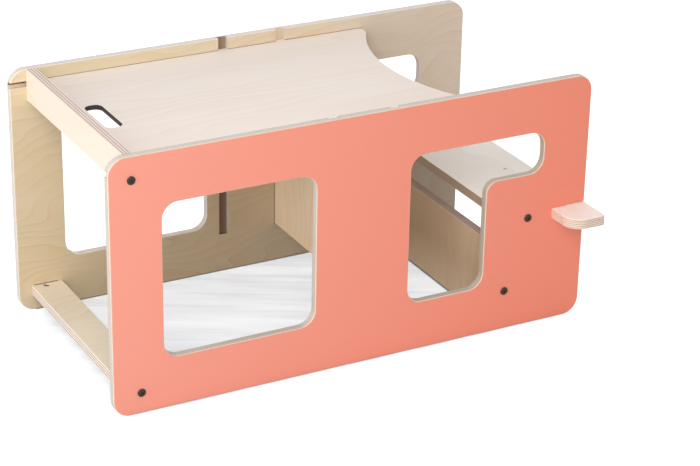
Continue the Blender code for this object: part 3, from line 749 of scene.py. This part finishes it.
least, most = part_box("bottom_rail")
rail_wood = birch_plywood("bottom_rail_birch_plywood", 0, 2, least.z, most.z, "#eee1ca",
                          "#c9aa82", "#f8ece1", "#c6aa9b", seed=14.9, figure=0.3,
                          plies=7, voids=0.1)
mesh = board_mesh("lower_rail", rectangle(least.x, least.y, most.x, most.y), [],
                  most.z - least.z, EASED_EDGE, Matrix.Translation((0.0, 0.0, least.z)))
finish_piece("lower_rail", mesh, nut_cutters("bottom_rail", 2, 1.0) + bolt_cutters("bottom_rail"),
             rail_wood, "birch_plywood", "bottom_rail")

# Seat: one board between the panels, with necks that pass through their end slots and a
# foot on each side, which widens the tower's base. It is bolted from both sides.
SEAT_LEAST, SEAT_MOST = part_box("seat_board")
FOOT_LENGTH = 0.0685
FOOT_CORNER = 0.032
FOOT_END_CORNER = 0.006
SEAT_EDGE_SHADE = "#a98a74"
SEAT_EDGE_COVER = 0.4
KNOT_PLACE = (0.401, -0.038, SEAT_MOST.z)
KNOT_SIZE = (0.0042, 0.0021, 0.01)
foot_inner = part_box("back_laminate")[1].y + FIT_GAP
neck = RIGHT - SLOT_LENGTH + FIT_GAP
seat_end = INNER - FIT_GAP
seat_corners = [
    (RIGHT, SEAT_LEAST.y, FOOT_END_CORNER),
    (RIGHT, SEAT_MOST.y, FOOT_END_CORNER),
    (RIGHT - FOOT_LENGTH, SEAT_MOST.y, FOOT_CORNER),
    (RIGHT - FOOT_LENGTH, foot_inner, 0.0),
    (neck, foot_inner, 0.0),
    (neck, seat_end, 0.0),
    (SEAT_LEAST.x, seat_end, 0.0),
    (SEAT_LEAST.x, -seat_end, 0.0),
    (neck, -seat_end, 0.0),
    (neck, -foot_inner, 0.0),
    (RIGHT - FOOT_LENGTH, -foot_inner, 0.0),
    (RIGHT - FOOT_LENGTH, SEAT_LEAST.y, FOOT_CORNER),
]
# Painted shade: the edge that looks to the table lies in shade under it, and is painted darker.
painted_edge_shade = ((SEAT_LEAST.x - STAIN_PAST, -seat_end, SEAT_LEAST.z + STAIN_PAST),
            (SEAT_LEAST.x + STAIN_PAST, seat_end, SEAT_MOST.z - STAIN_PAST),
            SEAT_EDGE_SHADE, SEAT_EDGE_SHADE, SEAT_EDGE_COVER)
seat_wood = birch_plywood("seat_birch_plywood", 1, 2, SEAT_LEAST.z, SEAT_MOST.z,
                          "#fdf6ee", "#dcc4a8", "#f6e6d6", "#cfae93", seed=17.6, figure=0.2,
                          spacing=0.030, plies=11, voids=0.8, stains_and_painted_shade=[painted_edge_shade],
                          knots=[(KNOT_PLACE, KNOT_SIZE, "#6a4a36")])
seat_mesh = board_mesh("seat", lambda inset=0.0: rounded_outline(seat_corners, inset), [],
                       SEAT_MOST.z - SEAT_LEAST.z, EASED_EDGE,
                       Matrix.Translation((0.0, 0.0, SEAT_LEAST.z)))
finish_piece("seat", seat_mesh, nut_cutters("seat", 2, -1.0) + bolt_cutters("seat"), seat_wood,
             "pale_birch_plywood", "seat_board")

# Step board: 18 mm plywood, which stands on its edge under the seat and ties the two panels
# together with a bolt and two dowels at each end.
least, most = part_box("step_board")
step_wood = birch_plywood("step_birch_plywood", 2, 0, least.x, most.x, "#eed4b5",
                          "#bf9a72", "#cdb7a7", "#977f70", seed=21.1, figure=0.22,
                          spacing=0.034, plies=11)
mesh = board_mesh("step", rectangle(least.y, least.z, most.y, most.z), [], most.x - least.x,
                  EASED_EDGE, Matrix.Translation((least.x, 0.0, 0.0)) @ ACROSS)
finish_piece("step", mesh, nut_cutters("step", 0, 1.0) + bolt_cutters("step"), step_wood,
             "birch_plywood", "step_board")

# Connector bolts: M6 furniture bolts with a low round head and a 5 mm hex socket,
# of blackened steel. They show as small dark discs on both coloured sides.
BOLT_RADIUS = 0.003
SOCKET_WIDTH = 0.005
SOCKET_DEPTH = 0.0016
SOCKET_SIDES = 6
SOCKET_LAND = 0.0014
POINT_INSET = 0.0004
POINT_LENGTH = 0.0006
HEAD_CHAMFER = 0.0002
# The head's rounded side: how far it has drawn in, at which share of the head's height.
HEAD_CROWN = ((0.0, 0.45), (0.0003, 0.68), (0.0010, 0.90), (0.0020, 1.0))
BOLT_SIDES = 48


def turned_mesh(name, profile, socket, place):
    """A round piece about Z from (radius, z) points going up, with a hex socket in its top."""
    work = bmesh.new()
    rings = []
    for radius, z in profile:
        turns = [2 * math.pi * k / BOLT_SIDES for k in range(BOLT_SIDES)]
        rings.append([work.verts.new((radius * math.cos(a), radius * math.sin(a), z))
                      for a in turns])
    for low, high in zip(rings, rings[1:]):
        for i in range(BOLT_SIDES):
            j = (i + 1) % BOLT_SIDES
            work.faces.new((low[i], low[j], high[j], high[i]))
    work.faces.new(list(reversed(rings[0])))
    width, depth = socket
    top = profile[-1][1]
    corner = width / 2 / math.cos(math.pi / SOCKET_SIDES)
    turns = [2 * math.pi * k / SOCKET_SIDES for k in range(SOCKET_SIDES)]
    sides = [(corner * math.cos(a), corner * math.sin(a)) for a in turns]
    mouth = [work.verts.new((x, y, top)) for x, y in sides]
    floor = [work.verts.new((x, y, top - depth)) for x, y in sides]
    for i in range(SOCKET_SIDES):
        j = (i + 1) % SOCKET_SIDES
        work.faces.new((floor[i], floor[j], mouth[j], mouth[i]))
    work.faces.new(floor)
    rim = [work.edges.get((mouth[i], mouth[(i + 1) % SOCKET_SIDES])) for i in range(SOCKET_SIDES)]
    outer = rings[-1]
    rim += [work.edges.get((outer[i], outer[(i + 1) % BOLT_SIDES])) for i in range(BOLT_SIDES)]
    bmesh.ops.triangle_fill(work, edges=rim, use_beauty=True)
    bmesh.ops.recalc_face_normals(work, faces=work.faces)
    bmesh.ops.transform(work, matrix=place, verts=work.verts)
    mesh = bpy.data.meshes.new(name)
    work.to_mesh(mesh)
    work.free()
    return mesh


def blackened_steel():
    """Steel with a black oxide skin: near black, with a soft shine on the rounded rim."""
    m = new_material("blackened_steel")
    where = add_node(m, "ShaderNodeTexCoord")
    # Worn spots of 1.1 mm, where the oxide has thinned to brown.
    wear = add_node(m, "ShaderNodeTexNoise", {"Vector": where.outputs["Object"],
                                              "Scale": 900.0, "Detail": 3.0})
    tint = add_node(m, "ShaderNodeMix", {0: wear, 6: srgb("#2a2020"),
                                         7: srgb("#54473f")}, data_type="RGBA")
    shader = add_node(m, "ShaderNodeBsdfPrincipled", {
        "Base Color": tint,
        "Metallic": 0.4,
        "Roughness": 0.27,
    })
    add_node(m, "ShaderNodeOutputMaterial", {"Surface": shader})
    return m


black_oxide = blackened_steel()
for board in BOLTED_BOARDS:
    for side, sign in (("front", -1.0), ("back", 1.0)):
        node = f"{board}_bolt_{side}"
        least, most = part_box(node)
        head = (most.x - least.x) / 2
        outer = least.y if sign < 0 else most.y
        length = most.y - least.y
        seat_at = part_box(side + "_laminate")[0 if sign < 0 else 1].y + sign * FIT_GAP
        rise = abs(outer - seat_at)
        shank = length - rise
        place = Matrix.Translation((node_middle(node).x, seat_at, node_middle(node).z))
        place = place @ Matrix.Rotation(-sign * math.pi / 2, 4, "X")
        profile = [
            (BOLT_RADIUS - POINT_INSET, -shank),
            (BOLT_RADIUS, -shank + POINT_LENGTH),
            (BOLT_RADIUS, 0.0),
            (head - HEAD_CHAMFER, 0.0),
            (head, HEAD_CHAMFER),
        ]
        profile += [(head - inwards, rise * share) for inwards, share in HEAD_CROWN]
        profile.append((SOCKET_WIDTH / 2 + SOCKET_LAND, rise))
        mesh = turned_mesh(f"{board}_screw_{side}", profile, (SOCKET_WIDTH, SOCKET_DEPTH), place)
        finish_piece(f"{board}_screw_{side}", mesh, [], black_oxide, "black_steel", node)

# Barrel nuts and dowels: zinc-plated steel cylinders in the boards' cross holes, and plain
# beech pegs beside the bolts. Both are hidden but for the nuts seen down their holes, so
# they keep the shapes of their solids.


def zinc_plate():
    """Turned steel with bright zinc: grey metal, a little dull, with spots of 1.7 mm."""
    m = new_material("zinc_plated_steel")
    where = add_node(m, "ShaderNodeTexCoord")
    spots = add_node(m, "ShaderNodeTexNoise", {"Vector": where.outputs["Object"],
                                               "Scale": 600.0, "Detail": 2.0})
    tint = add_node(m, "ShaderNodeMix", {0: spots, 6: srgb("#6d6f72"),
                                         7: srgb("#939597")}, data_type="RGBA")
    shader = add_node(m, "ShaderNodeBsdfPrincipled", {
        "Base Color": tint,
        "Metallic": 1.0,
        "Roughness": 0.36,
    })
    add_node(m, "ShaderNodeOutputMaterial", {"Surface": shader})
    return m


def plain_beech():
    """Bare turned beech: pinkish tan, with dark pores 8 mm long and 1.1 mm wide along the peg.

    Real pores are a tenth as wide, and would not show.
    """
    m = new_material("bare_beech")
    where = add_node(m, "ShaderNodeTexCoord")
    stretch = add_node(m, "ShaderNodeMapping", {0: where.outputs["Object"],
                                                "Scale": (900.0, 120.0, 900.0)})
    pores = add_node(m, "ShaderNodeTexNoise", {"Vector": stretch, "Scale": 1.0,
                                               "Detail": 2.0})
    tint = add_node(m, "ShaderNodeMix", {0: pores, 6: srgb("#c79a70"),
                                         7: srgb("#e0bd96")}, data_type="RGBA")
    shader = add_node(m, "ShaderNodeBsdfPrincipled", {
        "Base Color": tint,
        "Roughness": 0.6,
    })
    add_node(m, "ShaderNodeOutputMaterial", {"Surface": shader})
    return m


zinc = zinc_plate()
beech = plain_beech()
for name, node in nodes.items():
    if "_nut_" in name or "_dowel_" in name:
        node.data.materials.clear()
        node.data.materials.append(zinc if "_nut_" in name else beech)

# Floor and light: a white studio floor of faintly grained boards that run across the view,
# under a plain white sky. Soft lamps stand like a low window to the left and a high one in
# front, with a ceiling lamp and a dim one low behind, which keeps the far side's colour.
FLOOR_SIZE = 14.0
BOARDS_PER_METRE = (2.6, 34.0, 1.0)
SLIT_REACH = 0.010
FOOT_SHADE_REACH = 0.002
FADE_AT_BASE = 0.05
FADE_BESIDE = 0.01


def white_floor():
    """White-washed boards: the open floor reads as white paper, the shadows stay."""
    m = new_material("white_washed_floor")
    where = add_node(m, "ShaderNodeTexCoord")
    turned = add_node(m, "ShaderNodeMapping", {0: where.outputs["Object"],
                                               "Rotation": (0.0, 0.0, -CAMERA_AZIMUTH)})
    # Brushed streaks of the whitewash, 30 mm wide and 400 mm long.
    stretch = add_node(m, "ShaderNodeMapping", {0: turned, "Scale": BOARDS_PER_METRE})
    grain = add_node(m, "ShaderNodeTexNoise", {"Vector": stretch, "Scale": 1.0, "Detail": 5.0,
                                               "Roughness": 0.6, "Distortion": 0.4})
    shade = add_node(m, "ShaderNodeMapRange", {"Value": grain, "From Min": 0.35,
                                               "From Max": 0.75, "To Min": 1.0, "To Max": 0.82})
    seen_tint = add_node(m, "ShaderNodeMix", {0: shade, 6: (0.0, 0.0, 0.0, 1.0),
                                              7: (0.42, 0.44, 0.46, 1.0)}, data_type="RGBA")
    # Painted light: beside the tower the floor's glow rises to paper white and washes out the
    # tower's shadow there; under the tower the glow stays low and the boards show.
    xyz = add_node(m, "ShaderNodeSeparateXYZ", {0: where.outputs["Object"]}).outputs
    along = add_node(m, "ShaderNodeMath", {0: xyz[0]}, operation="ABSOLUTE")
    sideways = add_node(m, "ShaderNodeMath", {0: xyz[1]}, operation="ABSOLUTE")
    past_end = add_node(m, "ShaderNodeMapRange", {
        "Value": along, "From Min": RIGHT - FADE_AT_BASE, "From Max": RIGHT})
    past_side = add_node(m, "ShaderNodeMapRange", {
        "Value": sideways, "From Min": BACK_MOST.y, "From Max": BACK_MOST.y + FADE_BESIDE})
    beyond = add_node(m, "ShaderNodeMath", {0: past_end, 1: past_side}, operation="MAXIMUM")
    paper = add_node(m, "ShaderNodeMapRange", {"Value": beyond, "To Min": 0.68, "To Max": 0.95})
    # Painted shade: the glow is dimmed at the slit under the step board and along the panels'
    # eased feet, where next to no light reaches.
    step_least, step_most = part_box("step_board")
    slit = add_node(m, "ShaderNodeMath", {
        0: xyz[0], 1: (step_least.x + step_most.x) / 2, 2: SLIT_REACH}, operation="COMPARE")
    slit_end = add_node(m, "ShaderNodeMath", {0: xyz[1], 1: 0.0, 2: INNER},
                        operation="COMPARE")
    slit = add_node(m, "ShaderNodeMath", {0: slit, 1: slit_end}, operation="MULTIPLY")
    foot = add_node(m, "ShaderNodeMath", {0: sideways, 1: INNER, 2: FOOT_SHADE_REACH},
                    operation="COMPARE")
    foot_end = add_node(m, "ShaderNodeMath", {0: xyz[0], 1: 0.0, 2: RIGHT - PANEL_CORNER},
                        operation="COMPARE")
    foot = add_node(m, "ShaderNodeMath", {0: foot, 1: foot_end}, operation="MULTIPLY")
    unlit = add_node(m, "ShaderNodeMath", {0: slit, 1: foot}, operation="MAXIMUM")
    lit = add_node(m, "ShaderNodeMapRange", {"Value": unlit, "To Min": 1.0, "To Max": 0.15})
    boards = add_node(m, "ShaderNodeMapRange", {"Value": grain, "From Min": 0.35,
                                                "From Max": 0.75, "To Min": 1.0, "To Max": 0.7})
    boards = add_node(m, "ShaderNodeMapRange", {"Value": beyond, "To Min": boards, "To Max": 1.0})
    for factor in (lit, boards):
        paper = add_node(m, "ShaderNodeMath", {0: paper, 1: factor}, operation="MULTIPLY")
    # The light that the floor throws on the tower is browner under it than beside it.
    path = add_node(m, "ShaderNodeLightPath")
    thrown = add_node(m, "ShaderNodeMix", {0: beyond, 6: srgb("#97928d"), 7: srgb("#e4e5e6")},
                      data_type="RGBA")
    tint = add_node(m, "ShaderNodeMix", {0: path.outputs["Is Camera Ray"], 6: thrown,
                                         7: seen_tint}, data_type="RGBA")
    diffuse = add_node(m, "ShaderNodeBsdfDiffuse", {"Color": tint})
    glow = add_node(m, "ShaderNodeEmission", {"Color": srgb("#fafcff"), "Strength": paper})
    both = add_node(m, "ShaderNodeAddShader", {0: diffuse, 1: glow})
    seen = add_node(m, "ShaderNodeMixShader", {0: path.outputs["Is Camera Ray"], 1: diffuse,
                                               2: both})
    add_node(m, "ShaderNodeOutputMaterial", {"Surface": seen})
    return m


work = bmesh.new()
bmesh.ops.create_grid(work, x_segments=1, y_segments=1, size=FLOOR_SIZE / 2)
floor_mesh = bpy.data.meshes.new("studio_floor")
work.to_mesh(floor_mesh)
work.free()
floor_mesh.materials.append(white_floor())
floor = bpy.data.objects.new("studio_floor", floor_mesh)
bpy.context.scene.collection.objects.link(floor)

world = bpy.data.worlds.new("white_studio")
bpy.context.scene.world = world
world.use_nodes = True
world.node_tree.nodes.clear()
# The sky is seen plain white, also in the bolts, and lights the tower at half that strength.
sky_light = add_node(world, "ShaderNodeBackground", {"Color": srgb("#f4f6fa"), "Strength": 0.50})
sky_seen = add_node(world, "ShaderNodeBackground", {"Color": (1.0, 1.0, 1.0, 1.0),
                                                    "Strength": 1.0})
path = add_node(world, "ShaderNodeLightPath")
rays = add_node(world, "ShaderNodeMath", {0: path.outputs["Is Camera Ray"],
                                          1: path.outputs["Is Glossy Ray"]}, operation="MAXIMUM")
rays = add_node(world, "ShaderNodeMath", {0: rays,
                                          1: path.outputs["Is Transmission Ray"]},
                operation="MAXIMUM")
sky = add_node(world, "ShaderNodeMixShader", {0: rays, 1: sky_light,
                                              2: sky_seen})
add_node(world, "ShaderNodeOutputWorld", {"Surface": sky})


def soft_lamp(name, place, target, size, power):
    """A square soft lamp that faces a point."""
    data = bpy.data.lights.new(name, "AREA")
    data.size = size
    data.energy = power
    lamp = bpy.data.objects.new(name, data)
    lamp.location = place
    aim = Vector(target) - Vector(place)
    lamp.rotation_euler = aim.to_track_quat("-Z", "Y").to_euler()
    bpy.context.scene.collection.objects.link(lamp)


# Each lamp has its place, the point that it faces, its side in metres and its power in watts.
soft_lamp("low_window_lamp", (-3.1, -0.55, 0.95), (0.0, -0.1, 0.3), 1.8, 38.0)
soft_lamp("high_window_lamp", (-1.9, -2.7, 2.5), (0.0, 0.0, 0.2), 2.0, 78.0)
soft_lamp("ceiling_lamp", (0.3, 0.2, 3.2), (0.1, 0.0, 0.2), 1.6, 15.0)
soft_lamp("far_side_lamp", (1.3, 3.2, 0.6), (0.0, 0.2, 0.3), 1.0, 13.0)

bpy.context.scene.view_settings.view_transform = "Standard"
